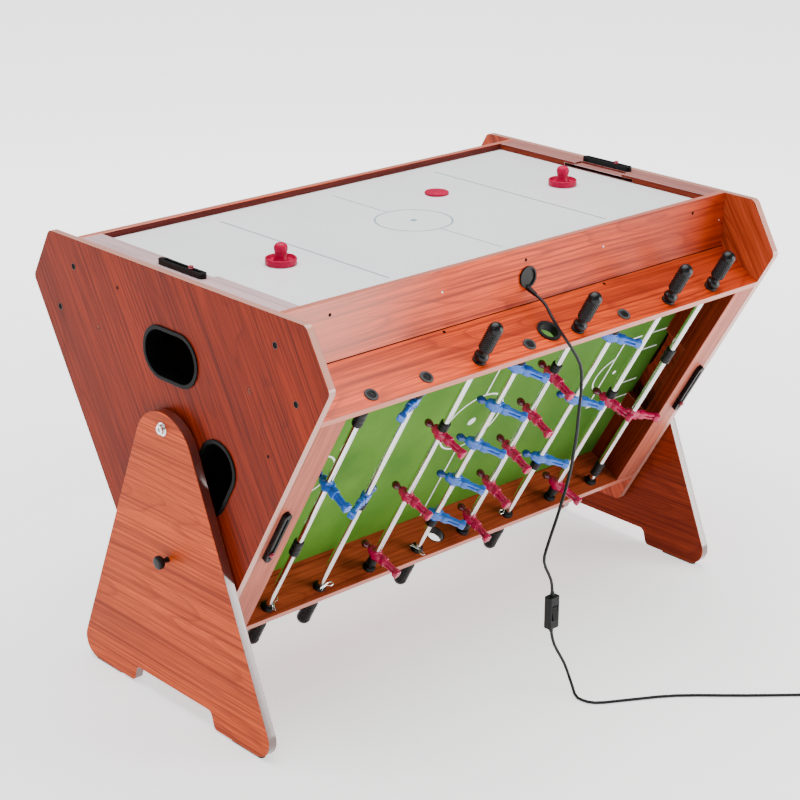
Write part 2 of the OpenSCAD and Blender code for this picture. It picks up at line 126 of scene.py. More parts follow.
class Shader:
    """A node material being built. Inputs are numbers, colours or other nodes' outputs."""

    def __init__(
        self, name, colour, rough=0.5, metal=0.0, specular=0.5, coat=0.0, coat_rough=0.1, sheen=0.0
    ):
        self.mat = bpy.data.materials.new(name)
        self.mat.use_nodes = True
        self.tree = self.mat.node_tree
        self.bsdf = self.tree.nodes["Principled BSDF"]
        self.set("Base Color", colour)
        self.set("Roughness", rough)
        self.set("Metallic", metal)
        self.set("Specular IOR Level", specular)
        self.set("Coat Weight", coat)
        self.set("Coat Roughness", coat_rough)
        self.set("Sheen Weight", sheen)
        self.place = self.node("TexCoord").outputs["Object"]

    def put(self, socket, value):
        if isinstance(value, bpy.types.NodeSocket):
            self.tree.links.new(value, socket)
        elif isinstance(value, tuple) and len(value) == 3 and socket.type == "RGBA":
            socket.default_value = (*value, 1)
        else:
            socket.default_value = value

    def set(self, name, value):
        self.put(self.bsdf.inputs[name], value)

    def node(self, kind, inputs=None, **props):
        n = self.tree.nodes.new("ShaderNode" + kind)
        for key, value in props.items():
            setattr(n, key, value)
        for key, value in (inputs or {}).items():
            self.put(n.inputs[key], value)
        return n

    def math(self, operation, a, b=0.0):
        return self.node("Math", {0: a, 1: b}, operation=operation).outputs[0]

    def times(self, a, b):
        return self.math("MULTIPLY", a, b)

    def dot(self, axis):
        """How far the shaded point lies along axis, in the object's own frame."""
        n = self.node("VectorMath", {0: self.place, 1: axis}, operation="DOT_PRODUCT")
        return n.outputs["Value"]

    def vector(self, x, y, z=0.0):
        return self.node("CombineXYZ", {0: x, 1: y, 2: z}).outputs[0]

    def noise(self, scale, detail=3.0, vector=None, rough=0.5, distort=0.0):
        inputs = {
            "Vector": vector or self.place,
            "Scale": scale,
            "Detail": detail,
            "Roughness": rough,
            "Distortion": distort,
        }
        return self.node("TexNoise", inputs).outputs["Fac"]

    def ramp(self, value, stops):
        """Colour ramp over value. stops is a list of (place, grey level or colour)."""
        n = self.node("ValToRGB", {"Fac": value})
        n.color_ramp.interpolation = "EASE"
        while len(n.color_ramp.elements) < len(stops):
            n.color_ramp.elements.new(0.5)
        for e, (at, c) in zip(n.color_ramp.elements, stops):
            e.position = at
            e.color = (c, c, c, 1) if isinstance(c, (int, float)) else (*c, 1)
        return n.outputs["Color"]

    def span(self, value, lo, hi, out_lo=0.0, out_hi=1.0):
        """Maps value from lo..hi to out_lo..out_hi, and holds it at the ends."""
        inputs = {"Value": value, "From Min": lo, "From Max": hi, "To Min": out_lo, "To Max": out_hi}
        return self.node("MapRange", inputs).outputs["Result"]

    def mix(self, factor, a, b):
        n = self.node("Mix", data_type="RGBA", blend_type="MIX")
        self.put(n.inputs[0], factor)
        self.put(n.inputs[6], a)
        self.put(n.inputs[7], b)
        return n.outputs[2]

    def bump(self, height, strength=0.3, distance=0.001):
        n = self.node("Bump", {"Height": height, "Strength": strength, "Distance": distance})
        self.set("Normal", n.outputs["Normal"])


def shade(colour, k):
    """The colour with every channel times k."""
    return tuple(c * k for c in colour)


def wood(
    name, along, across, seed=0.0, light=(0.26, 0.020, 0.002), dark=(0.062, 0.004, 0.001),
    knots=1.0, gloss=0.07, reflection_colour=None, reflection_much=0.6,
):
    """Printed cherry woodgrain foil. along and across are directions in the object's own frame.

    knots is how strongly the figure wanders. Given a reflection colour and an amount, the boards get a
    painted reflection of that colour towards -x, by that amount, and painted shade in the dark colour
    towards +x.
    """
    s = Shader(name, light, rough=0.36, specular=gloss)
    a = s.dot(along)
    b = s.dot(across)

    def grain(b, per_a, per_b, layer, detail, rough=0.5, distort=0.0):
        """Noise with per_a features in a metre along the grain and per_b across it."""
        v = s.vector(s.times(a, per_a), s.times(b, per_b), seed + layer)
        return s.noise(1.0, detail, v, rough, distort)

    wander = grain(b, 1.6, 3.0, 3.7, 2.0)
    b = s.math("ADD", b, s.times(s.math("SUBTRACT", wander, 0.5), 0.05 * knots))
    figure = grain(b, 1.1, 7.5, 0.0, 1.5, distort=0.35 * knots)
    rings = s.math("FRACT", s.times(figure, 17.0))
    lines = s.ramp(rings, [(0.0, 0.0), (0.72, 0.12), (0.93, 1.0), (1.0, 0.1)])
    streak = grain(b, 1.6, 185.0, 1.3, 4.0, 0.6)
    fine = grain(b, 14.0, 420.0, 9.1, 3.0, 0.55)
    tone = grain(b, 0.9, 13.0, 5.9, 2.0)
    mid = tuple((p + 2 * q) / 3 for p, q in zip(dark, light))
    base = s.ramp(tone, [(0.30, mid), (0.52, light), (0.75, tuple(min(1, c * 1.22) for c in light))])
    base = s.mix(s.span(streak, 0.44, 0.66, 0.0, 0.80), base, dark)
    base = s.mix(s.times(lines, 0.22 + 0.28 * knots), base, dark)
    base = s.mix(s.span(fine, 0.40, 0.70, 0.0, 0.42), base, shade(dark, 0.8))
    # Painted reflection: a pale veil of the given colour towards -x. Painted shade: the dark colour towards
    # +x.
    if reflection_colour:
        base = s.mix(s.span(a, *BOARD_PAINTED_REFLECTION, reflection_much, 0.0), base, reflection_colour)
        base = s.mix(s.span(a, *BOARD_PAINTED_SHADE, 0.0, 0.62), base, dark)
    s.set("Base Color", base)
    s.set("Roughness", s.span(fine, 0.3, 0.7, 0.33, 0.44))
    s.bump(s.math("ADD", fine, s.times(streak, 0.6)), 0.10, 0.0004)
    return s.mat


def band(name, along, across, colour, gloss=0.6, coat=1.0):
    """Edge banding: a lacquered strip with faint grain along it."""
    s = Shader(name, colour, rough=0.30, specular=gloss, coat=coat, coat_rough=0.12)
    v = s.vector(s.times(s.dot(along), 5.0), s.times(s.dot(across), 260.0), 1.0)
    grain = s.noise(1.0, 3.0, v, 0.6)
    s.set("Base Color", s.mix(s.span(grain, 0.35, 0.75, 0.0, 0.6), colour, shade(colour, 0.66)))
    s.bump(grain, 0.08, 0.0003)
    return s.mat


def plastic(name, colour, rough=0.35, strength=0.06, coat=0.0, vary=0.12, specular=0.5):
    """Moulded plastic with a fine surface grain and slight changes of tone and gloss."""
    s = Shader(name, colour, rough=rough, coat=coat, coat_rough=0.08, specular=specular)
    cloud = s.noise(24.0, 3.0)
    s.set("Base Color", s.mix(s.span(cloud, 0.3, 0.7, 0.0, 1.0), colour, shade(colour, 1 - vary)))
    s.set("Roughness", s.span(s.noise(70.0, 4.0), 0.3, 0.7, rough * 0.88, rough * 1.14))
    s.bump(s.noise(1400.0, 2.0), strength, 0.0002)
    return s.mat


def metal(name, colour, rough=0.2, brushed=0.1):
    """Plated or polished steel with faint draw marks along z."""
    s = Shader(name, colour, rough=rough, metal=1.0)
    v = s.vector(s.times(s.dot((0, 0, 1)), 6.0), s.dot((900, 500, 300)), 0.0)
    marks = s.noise(1.0, 3.0, v)
    s.set("Roughness", s.span(marks, 0.3, 0.7, rough * 0.75, rough * 1.3))
    cloud = s.noise(15.0, 4.0)
    s.set("Base Color", s.mix(s.span(cloud, 0.35, 0.75, 0.0, 0.35), colour, shade(colour, 0.8)))
    s.bump(marks, brushed, 0.0001)
    return s.mat


def hockey_sheet():
    """White glossy board drilled with a grid of fine air holes."""
    s = Shader("hockey_sheet", (0.90, 0.92, 0.94), rough=0.17, coat=0.4, coat_rough=0.05)

    def off(axis):
        """Distance along axis from the nearest row of holes."""
        cell = s.math("FRACT", s.math("ADD", s.math("DIVIDE", s.dot(axis), HOLE_PITCH), 0.5))
        return s.times(s.math("SUBTRACT", cell, 0.5), HOLE_PITCH)

    x, y = off((1, 0, 0)), off((0, 1, 0))
    r = s.math("SQRT", s.math("ADD", s.times(x, x), s.times(y, y)))
    hole = s.span(r, *HOLE_EDGE, 1.0, 0.0)
    cloud = s.noise(5.0, 3.0)
    base = s.mix(s.span(cloud, 0.35, 0.7), (0.91, 0.925, 0.94), (0.87, 0.89, 0.915))
    s.set("Base Color", s.mix(s.times(hole, 0.75), base, (0.12, 0.13, 0.14)))
    s.set("Roughness", s.span(s.noise(160.0, 3.0), 0.3, 0.7, 0.13, 0.21))
    s.bump(s.times(hole, -1.0), 0.5, 0.0008)
    return s.mat


def turf_sheet():
    """Printed green pitch with mown stripes and a mottle like short grass, with painted shade darkening it
    towards +x.
    """
    s = Shader("turf_sheet", (0.10, 0.27, 0.03), rough=0.55, specular=0.15)
    x = s.dot((1, 0, 0))
    stripe = s.math("SINE", s.times(x, math.pi / ROD_PITCH))
    grass = s.noise(420.0, 5.0)
    base = s.mix(s.span(s.noise(9.0, 3.0), 0.3, 0.72), (0.110, 0.265, 0.026), (0.060, 0.180, 0.014))
    base = s.mix(s.span(stripe, -0.3, 0.3, 0.0, 0.22), base, (0.055, 0.17, 0.012))
    base = s.mix(s.span(grass, 0.35, 0.72, 0.0, 0.5), base, (0.045, 0.14, 0.010))
    # Painted shade: the pitch darkens towards +x.
    base = s.mix(s.span(x, *PITCH_PAINTED_SHADE, 0.0, 0.62), base, (0.022, 0.070, 0.008))
    s.set("Base Color", base)
    s.bump(grass, 0.12, 0.0003)
    return s.mat


def cloth(name, colour):
    """Napped woollen cloth with a fine weave."""
    s = Shader(name, colour, rough=0.92, specular=0.2, sheen=0.5)
    wx = s.math("SINE", s.times(s.dot((1, 0, 0)), THREADS))
    wy = s.math("SINE", s.times(s.dot((0, 0.6, 0.8)), THREADS))
    nap = s.noise(260.0, 5.0)
    base = s.mix(s.span(s.noise(12.0, 3.0), 0.3, 0.7), colour, shade(colour, 0.78))
    s.set("Base Color", s.mix(s.span(nap, 0.35, 0.7, 0.0, 0.45), base, shade(colour, 1.35)))
    s.bump(s.math("ADD", nap, s.times(s.times(wx, wy), 0.25)), 0.3, 0.0005)
    return s.mat


def rubber(name, colour=(0.004, 0.004, 0.0045), rough=0.42):
    """Matt black rubber or soft sheath with a dusty mottle."""
    s = Shader(name, colour, rough=rough, specular=0.25)
    s.set("Base Color", s.mix(s.span(s.noise(60.0, 4.0), 0.35, 0.7), colour, shade(colour, 1.9)))
    s.set("Roughness", s.span(s.noise(220.0, 4.0), 0.3, 0.7, rough * 0.85, rough * 1.25))
    s.bump(s.noise(1800.0, 3.0), 0.12, 0.0002)
    return s.mat


def floor_paint():
    """Pale studio floor that glows more with its distance from the table."""
    s = Shader("studio_floor", (0.86, 0.86, 0.86), rough=0.8, specular=0.03)
    cloud = s.noise(0.6, 2.0)
    s.set("Base Color", s.mix(s.span(cloud, 0.3, 0.7), (0.86, 0.86, 0.86), (0.84, 0.84, 0.845)))
    s.set("Emission Color", (1, 1, 1))
    away = s.node("VectorMath", {0: s.place}, operation="LENGTH").outputs["Value"]
    s.set("Emission Strength", s.span(away, *GLOW_FROM, *GLOW))
    return s.mat


# Grain directions, as (along, across)
C30, S30 = math.cos(math.pi / 6), 0.5
LEG_GRAIN = (0, 1, 0.06), (0, 0, 1)
PANEL_GRAIN = (0, S30, C30), (0, C30, -S30)
ACROSS_PITCH = (0, S30, -C30)
HOCKEY_RAIL_GRAIN = (0, 1, 0), (1, 0, 0)

LEG_WOOD = wood(
    "leg_woodgrain", *LEG_GRAIN, 11.0, (0.64, 0.088, 0.017), (0.20, 0.020, 0.004), 0.5, 0.08
)
# The legs' inner faces: the leg's grain in darker tones, painted shade.
LEG_INNER_SHADED = wood(
    "leg_inner_woodgrain", *LEG_GRAIN, 13.0, (0.26, 0.030, 0.008), (0.09, 0.008, 0.003), 0.5, 0.05
)
PANEL_WOOD = wood("panel_woodgrain", *PANEL_GRAIN, 23.0, knots=0.3)
# The end panels' inner faces: the panel's grain in lighter tones, painted light.
PANEL_INNER_LIT = wood(
    "panel_inner_woodgrain", *PANEL_GRAIN, 27.0, (0.56, 0.085, 0.030), (0.20, 0.020, 0.007), 1.2, 0.12
)
# The foosball end rails' tops: pale pink tones, a painted reflection.
RAIL_TOP_REFLECTION = wood(
    "rail_woodgrain", ACROSS_PITCH, (1, 0, 0), 31.0,
    (0.44, 0.115, 0.072), (0.26, 0.060, 0.038), 0.4, 0.15,
)
# The left hockey rail's top: pale pink tones, a painted reflection.
HOCKEY_RAIL_REFLECTION = wood(
    "hockey_rail_reflection_woodgrain", *HOCKEY_RAIL_GRAIN, 41.0, (0.58, 0.40, 0.41), (0.38, 0.23, 0.24), 0.2, 0.6
)
# The right hockey rail's top: a darker copy, painted shade.
HOCKEY_RAIL_FAR_SHADED = wood(
    "hockey_rail_far_shaded_woodgrain", *HOCKEY_RAIL_GRAIN, 45.0,
    (0.36, 0.14, 0.12), (0.22, 0.075, 0.065), 0.2, 0.5,
)
# The hockey rails' other faces: darker tones, painted shade.
RAIL_SIDE_SHADED = wood(
    "rail_side_shaded_woodgrain", (0, 1, 0), (0, 0, 1), 51.0, (0.20, 0.026, 0.010), (0.09, 0.009, 0.004), 0.4
)
# The foosball end rails' other faces: darker tones, painted shade.
RAIL_INNER_SHADED = wood(
    "rail_inner_shaded_woodgrain", ACROSS_PITCH, (0, C30, S30), 61.0,
    (0.15, 0.016, 0.004), (0.06, 0.005, 0.002), 0.4,
)
LEG_BAND = band("leg_edge_band", (0, 0.4, 0.9), (1, 0, 0), (0.085, 0.014, 0.010), 1.0)
PANEL_BAND = band("panel_edge_band", (0, 0.6, 0.8), (1, 0, 0), (0.56, 0.25, 0.19), 0.4, 0.7)
BOARD_BAND = band("board_edge_band", (1, 0, 0), (0, 0.7, 0.7), (0.52, 0.15, 0.10), 0.3, 0.25)
WHITE_SHEET = hockey_sheet()
TURF = turf_sheet()
POOL_CLOTH = cloth("pool_cloth", (0.012, 0.13, 0.05))
LINE_GREY = plastic("hockey_line_ink", (0.26, 0.36, 0.42), 0.3, vary=0.05)
LINE_WHITE = plastic("pitch_line_ink", (0.88, 0.90, 0.86), 0.4, vary=0.04)
BLACK = plastic("black_moulding", (0.003, 0.003, 0.0035), 0.42, strength=0.1, specular=0.22)
BLACK_GLOSS = plastic(
    "black_gloss_moulding", (0.002, 0.002, 0.0024), 0.28, strength=0.03, coat=0.05, specular=0.12
)
GRIP = rubber("grip_rubber", (0.003, 0.0032, 0.0036), 0.28)
RUBBER = rubber("bumper_rubber")
CORD = rubber("cord_sheath", (0.005, 0.005, 0.0055), 0.34)
RED = plastic("red_player_plastic", (0.48, 0.002, 0.068), 0.20, coat=0.6, strength=0.03, specular=0.3)
BLUE = plastic("blue_player_plastic", (0.008, 0.13, 0.60), 0.20, coat=0.7, strength=0.03)
PINK = plastic("red_striker_plastic", (0.42, 0.0002, 0.042), 0.30, strength=0.03, specular=0.12)
DARK_RED = plastic("dark_red_slider", (0.30, 0.008, 0.03), 0.25, coat=0.3, strength=0.03)
TUBE = metal("rod_steel", (0.90, 0.90, 0.89), 0.16)
ZINC = metal("zinc_plate", (0.72, 0.73, 0.74), 0.24, brushed=0.2)
RING_GREY = plastic("grey_end_ring", (0.040, 0.043, 0.045), 0.5, strength=0.15, specular=0.3)
CAM_BROWN = plastic("cam_ring", (0.055, 0.048, 0.045), 0.5, specular=0.3)
SLATE = plastic("pool_bed_board", (0.20, 0.15, 0.11), 0.6)
FAN_GREY = plastic("fan_grey", (0.09, 0.09, 0.095), 0.4)
HEAD_RED = plastic("red_player_head", (0.085, 0.002, 0.008), 0.22, coat=0.4, strength=0.03)
HEAD_BLUE = plastic("blue_player_head", (0.005, 0.055, 0.28), 0.22, coat=0.4, strength=0.03)
# Near-black paint for shade: painted shade in the screw holes and sockets, and in the creases of the board
# seams.
PAINTED_SHADOW = plastic("screw_shadow", (0.004, 0.003, 0.003), 0.6, specular=0.05)
TRIM = plastic("hand_hole_trim_plastic", (0.002, 0.002, 0.0022), 0.4, specular=0.07)

# ---------------------------------------------------------------- mesh helpers


def link(o):
    bpy.context.scene.collection.objects.link(o)
    return o


def sharpen(bm, degrees):
    """Shades every face smooth and marks edges that turn more than degrees as sharp."""
    for e in bm.edges:
        if len(e.link_faces) == 2 and e.calc_face_angle(0) > math.radians(degrees):
            e.smooth = False
    for f in bm.faces:
        f.smooth = True


def piece(name, bm, mats, body, stands_for=(), degrees=38):
    """Makes an object from bm and lets it ride on a body, in place of the nodes it stands for."""
    bmesh.ops.recalc_face_normals(bm, faces=bm.faces)
    sharpen(bm, degrees)
    mesh = bpy.data.meshes.new(name)
    bm.to_mesh(mesh)
    bm.free()
    o = link(bpy.data.objects.new(name, mesh))
    for m in mats if isinstance(mats, (list, tuple)) else [mats]:
        mesh.materials.append(m)
    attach(o, body)
    for node in [stands_for] if isinstance(stands_for, str) else stands_for:
        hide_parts(node)
    return o


def on_circle(r, n, z=0.0):
    """n points round a circle about z."""
    return [Vector((r * math.cos(t), r * math.sin(t), z)) for t in (2 * math.pi * k / n for k in range(n))]


def bridge(bm, rings):
    """Joins each closed ring of vertices to the next with four-sided faces."""
    for a, b in zip(rings, rings[1:]):
        for k in range(len(a)):
            j = (k + 1) % len(a)
            bm.faces.new((a[k], a[j], b[j], b[k]))


def add_lathe(bm, profile, n=32, place=None):
    """Adds a solid of revolution about z. profile is a list of (radius, z); radius 0 makes a pole."""
    place = place or Matrix.Identity(4)
    rings = []
    for r, z in profile:
        points = [Vector((0, 0, z))] if r < 1e-7 else on_circle(r, n, z)
        rings.append([bm.verts.new(place @ p) for p in points])
    for a, b in zip(rings, rings[1:]):
        for k in range(n):
            j = (k + 1) % n
            corners = [a[k % len(a)], a[j % len(a)], b[j % len(b)], b[k % len(b)]]
            unique = [v for i, v in enumerate(corners) if v not in corners[:i]]
            if len(unique) > 2:
                bm.faces.new(unique)


def add_prism(bm, outline, z0, z1, place):
    """Adds a closed prism between z0 and z1 over a convex or simple outline."""
    low = [bm.verts.new(place @ Vector((x, y, z0))) for x, y in outline]
    high = [bm.verts.new(place @ Vector((x, y, z1))) for x, y in outline]
    bm.faces.new(low[::-1])
    bm.faces.new(high)
    bridge(bm, [low, high])


def rounded_box(w, h, r, n=6):
    """Outline of a rectangle w by h, centred, with corners of radius r."""
    points = []
    for q, (sx, sy) in enumerate([(1, 1), (-1, 1), (-1, -1), (1, -1)]):
        for k in range(n + 1):
            t = math.pi / 2 * (q + k / n)
            points.append((sx * (w / 2 - r) + r * math.cos(t), sy * (h / 2 - r) + r * math.sin(t)))
    return points


def add_loft(bm, sections, n, place, mat=0):
    """Adds a closed skin over superellipse sections (y, half x, half z, centre x, centre z, power)."""
    rings = []
    for y, hx, hz, cx, cz, p in sections:
        ring = []
        for k in range(n):
            t = 2 * math.pi * k / n
            c, s = math.cos(t), math.sin(t)
            x = cx + hx * math.copysign(abs(c) ** (2 / p), c)
            z = cz + hz * math.copysign(abs(s) ** (2 / p), s)
            ring.append(bm.verts.new(place @ Vector((x, y, z))))
        rings.append(ring)
    for a, b in zip(rings, rings[1:]):
        for k in range(n):
            j = (k + 1) % n
            bm.faces.new((a[k], a[j], b[j], b[k])).material_index = mat
    for ring, (y, _, _, cx, cz, _) in ((rings[0], sections[0]), (rings[-1], sections[-1])):
        pole = bm.verts.new(place @ Vector((cx, y, cz)))
        for k in range(n):
            bm.faces.new((ring[k], ring[(k + 1) % n], pole)).material_index = mat


def add_tube(bm, points, radius, n):
    """Adds a closed round tube along points, with its sections carried on without twist."""
    pts = [Vector(p) for p in points]
    last = len(pts) - 1
    heads = [(pts[min(i + 1, last)] - pts[max(i - 1, 0)]).normalized() for i in range(last + 1)]
    side = heads[0].orthogonal().normalized()
    rings = []
    for p, t in zip(pts, heads):
        side = (side - t * side.dot(t)).normalized()
        up = t.cross(side)
        angles = [2 * math.pi * k / n for k in range(n)]
        rings.append([bm.verts.new(p + radius * (math.cos(a) * side + math.sin(a) * up)) for a in angles])
    bridge(bm, rings)
    bm.faces.new(rings[0][::-1])
    bm.faces.new(rings[-1])


def spline(points, steps):
    """Smooth curve through the points, with steps pieces in each span."""
    pts = [Vector(p) for p in points]
    n = len(pts) - 1
    out = []
    for i in range(n):
        p0, p1, p2, p3 = pts[max(i - 1, 0)], pts[i], pts[i + 1], pts[min(i + 2, n)]
        for k in range(steps):
            t = k / steps
            square, cube = 2 * p0 - 5 * p1 + 4 * p2 - p3, 3 * p1 - p0 - 3 * p2 + p3
            out.append(0.5 * (2 * p1 + (p2 - p0) * t + square * t * t + cube * t**3))
    return out + [pts[-1]]


def soften(node, mats, width=0.0008, pick=None, segments=2):
    """Replaces a CAD node by a copy of it with small rounded edges.

    pick(normal, centre) gives the material number of a face.
    """
    bm = bmesh.new()
    bm.from_mesh(frame["nodes"][node].data)
    bmesh.ops.remove_doubles(bm, verts=bm.verts, dist=2e-6)
    bmesh.ops.dissolve_limit(bm, angle_limit=math.radians(0.4), verts=bm.verts, edges=bm.edges)
    for f in bm.faces:
        f.material_index = pick(f.normal, f.calc_center_median()) if pick else 0
    hard = [e for e in bm.edges if len(e.link_faces) == 2 and e.calc_face_angle(0) > math.radians(32)]
    bmesh.ops.bevel(
        bm, geom=hard, offset=width, offset_type="OFFSET", segments=segments, profile=0.5,
        affect="EDGES", clamp_overlap=True,
    )
    o = piece(node + "_soft", bm, mats, body_of(frame["nodes"][node])[0], stands_for=node, degrees=50)
    weighted = o.modifiers.new("weighted", "WEIGHTED_NORMAL")
    weighted.keep_sharp = True
    weighted.weight = 100
    return o


def paint(node, mat):
    """Gives a CAD node that keeps its shape a better material."""
    slots = frame["nodes"][node].data.materials
    slots.clear()
    slots.append(mat)


# ---------------------------------------------------------------- camera, light, floor

CAMERA_AT = (-2.5523, -2.7379, AXLE + 1.33635)
AZIMUTH, ELEVATION, ROLL = math.radians(-42.61), math.radians(21.0), 0.25
FLOOR_HALF, FLOOR_DROP = 80, 0.0002
WORLD_STRENGTH = 0.22


def looking(at, ahead):
    """Place at a point, with -z along ahead and y upwards."""
    return shift(*at) @ ahead.to_track_quat("-Z", "Y").to_matrix().to_4x4()


def area_light(name, at, aim, size, power, colour=(1, 1, 1)):
    data = bpy.data.lights.new(name, "AREA")
    data.shape = "RECTANGLE"
    data.size, data.size_y = size
    data.energy = power
    data.color = colour
    o = link(bpy.data.objects.new(name, data))
    o.matrix_world = looking(at, Vector(aim) - Vector(at))


camera = bpy.data.cameras.new("camera")
camera.lens = 90.9
camera.sensor_width = 36.0
camera.clip_start, camera.clip_end = 0.1, 100
cam = link(bpy.data.objects.new("camera", camera))
level = math.cos(ELEVATION)
ahead = Vector((-math.sin(AZIMUTH) * level, math.cos(AZIMUTH) * level, -math.sin(ELEVATION)))
cam.matrix_world = looking(CAMERA_AT, ahead) @ turn(ROLL, "Z")
bpy.context.scene.camera = cam

area_light("key", (2.5, -3.2, 1.05), (-0.3, 0, 0.48), (2.0, 1.7), 140, (1.0, 0.985, 0.96))
area_light("side", (-3.6, -1.0, 2.7), (-0.4, 0, 0.5), (2.0, 1.6), 18, (1.0, 0.99, 0.97))
area_light("top", (0.0, 0.3, 4.2), (0, 0, 0), (4.5, 4.5), 390)
world = bpy.data.worlds.new("studio")
world.use_nodes = True
background = world.node_tree.nodes["Background"]
background.inputs["Color"].default_value = (1, 1, 1, 1)
background.inputs["Strength"].default_value = WORLD_STRENGTH
bpy.context.scene.world = world

floor_mesh = bmesh.new()
bmesh.ops.create_grid(floor_mesh, x_segments=8, y_segments=8, size=FLOOR_HALF)
floor_data = bpy.data.meshes.new("floor")
floor_mesh.to_mesh(floor_data)
floor_mesh.free()
floor = link(bpy.data.objects.new("floor", floor_data))
floor.location.z = -FLOOR_DROP
floor_data.materials.append(floor_paint())

# ---------------------------------------------------------------- cord

CORD_D = 0.006
# The route from the outlet in the front board down to the switch and over the floor, in mm
ROUTE = [
    (5, -320, 757), (5, -345, 745), (0, -370, 725), (0, -390, 705), (10, -405, 680),
    (30, -415, 640), (30, -420, 600), (20, -425, 550), (15, -425, 500), (0, -425, 430),
    (-25, -425, 365), (-50, -425, 310), (-60, -425, 275), (-45, -430, 235), (-40, -430, 200),
    (-40, -430, 135), (-30, -430, 95), (-10, -440, 50), (-10, -460, 15), (-25, -490, 3),
    (-15, -525, 3), (40, -560, 3), (120, -610, 3), (220, -700, 3), (320, -785, 3),
]
SWITCH_X, SWITCH_Y = -0.040, -0.430
SWITCH_LOW, SWITCH_HIGH = 0.135, 0.200
COIL = shift(0.395, -0.795)
LANES = (0.0362, 0.0299)                        # radii of the coil's outer and inner lanes
LAYERS = (0.0030, 0.0091)                       # heights of its two layers
FIRST, LAST, STEP = 215, 300 + 3 * 360, 15      # angles at which the coil starts and ends
PLUG_TURN = -60
PLUG_END = turn(PLUG_TURN, "Z") @ Vector((0.036, 0.012, 0.009))
PLUG_PINS = 0.0579                              # the plug's metal pins start here along its y
SLEEVE = [
    (0.0031, 0), (0.0048, 0), (0.0046, 0.0030), (0.0040, 0.0036), (0.0044, 0.0050),
    (0.0038, 0.0062), (0.0041, 0.0078), (0.0034, 0.0100), (0.0031, 0.0100),
]
# Half of the coil tie's section, over the coil and back on its inner side
TIE_OVER = [(0.0072, 0.0003), (0.0074, 0.0080), (0.0066, 0.0119), (0.0030, 0.0130)]
TIE_UNDER = [(0.0066, 0.0003), (0.0068, 0.0078), (0.0061, 0.0113), (0.0028, 0.0123)]
TIE_HALF = 0.004


def ease(a, start, end):
    """Goes smoothly from 0 to 1 while a goes from start to end."""
    t = min(1.0, max(0.0, (a - start) / (end - start)))
    return t * t * (3 - 2 * t)


def coil_point(a):
    """Place on the coil after turning to angle a: it moves to the inner lane, up, and back out on top."""
    inner = ease(a, 505, 575) - ease(a, 1085, 1155)
    r = LANES[0] + (LANES[1] - LANES[0]) * inner
    z = LAYERS[0] + (LAYERS[1] - LAYERS[0]) * ease(a, 795, 865)
    return (r * math.cos(math.radians(a)), r * math.sin(math.radians(a)), z)


knots = [Vector(p) * MM for p in ROUTE]
knots += [COIL @ Vector(coil_point(a)) for a in range(FIRST, LAST + 1, STEP)]
knots.append(COIL @ PLUG_END)
line = spline(knots, 3)
for p in line:
    p.z = max(p.z, CORD_D / 2)
curve = bpy.data.curves.new("mains_cord", "CURVE")
curve.dimensions = "3D"
curve.bevel_depth = CORD_D / 2
curve.bevel_resolution = 4
curve.use_fill_caps = True
strand = curve.splines.new("POLY")
strand.points.add(len(line) - 1)
for point, p in zip(strand.points, line):
    point.co = (*p, 1)
strand.use_smooth = True
curve.materials.append(CORD)
cord = link(bpy.data.objects.new("mains_cord", curve))
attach(cord, "cabinet")
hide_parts("cord", "cord_coil")

to_plug = (COIL @ turn(PLUG_TURN, "Z")).inverted()
plug = soften(
    "cord_plug", [CORD, ZINC], 0.0012, lambda n, c: 1 if (to_plug @ c).y > PLUG_PINS else 0, segments=3
)
switch = soften("switch_body", [BLACK], 0.0014, segments=3)
rocker = soften("switch_rocker", [BLACK_GLOSS], 0.0006)
bm = bmesh.new()
for z, way in ((SWITCH_HIGH - 0.0005, 0), (SWITCH_LOW + 0.0005, 180)):
    add_lathe(bm, SLEEVE, 20, shift(SWITCH_X, SWITCH_Y, z) @ turn(way, "X"))
sleeves = piece("switch_sleeves", bm, CORD, "cabinet")
bm = bmesh.new()
tie = [(-x, y) for x, y in TIE_OVER] + TIE_OVER[::-1] + TIE_UNDER + [(-x, y) for x, y in TIE_UNDER[::-1]]
tie_at = COIL @ turn(120, "Z") @ shift(0.033) @ turn(90, "X")
low = [bm.verts.new(tie_at @ Vector((x, y, -TIE_HALF))) for x, y in tie]
high = [bm.verts.new(tie_at @ Vector((x, y, TIE_HALF))) for x, y in tie]
bridge(bm, [low, high])
last = len(tie) - 1
for row in (low, high):
    for k in range(last // 2):
        bm.faces.new((row[k], row[k + 1], row[last - k - 1], row[last - k]))
knot = piece("coil_tie", bm, RUBBER, "cabinet")

# ---------------------------------------------------------------- stand and cabinet


def end_side(normal, centre):
    """Material number of a leg's or end panel's face: 0 outside, 1 on its edge, 2 towards the middle, which
    is painted shade on the legs and painted light on the end panels.
    """
    if abs(normal.x) < FLAT:
        return 1
    return 0 if normal.x * centre.x > 0 else 2


for side in ("left", "right"):
    soften("leg_" + side, [LEG_WOOD, LEG_BAND, LEG_INNER_SHADED], 0.0012, end_side)
    soften("end_panel_" + side, [PANEL_WOOD, PANEL_BAND, PANEL_INNER_LIT], 0.0010, end_side)
soften("foot_glides", [RUBBER], 0.0008)
soften("axle_bolts", [ZINC], 0.0005)
soften("hand_hole_trims", [TRIM], 0.0011)


def board_side(normal, centre, out, across):
    """Material number of a side board's face: 1 on the rim, 2 inside the box, with that box's painted light
    and shade, 0 outside.
    """
    if normal.dot(out) > FLAT:
        return 1
    inward = normal.dot(across) * (centre - Vector((0, 0, AXLE))).dot(across) < 0
    return 2 if inward else 0


OUT = [face(k).to_3x3() @ Vector((0, 0, 1)) for k in range(3)]
ACROSS = [face(k).to_3x3() @ Vector((0, 1, 0)) for k in range(3)]
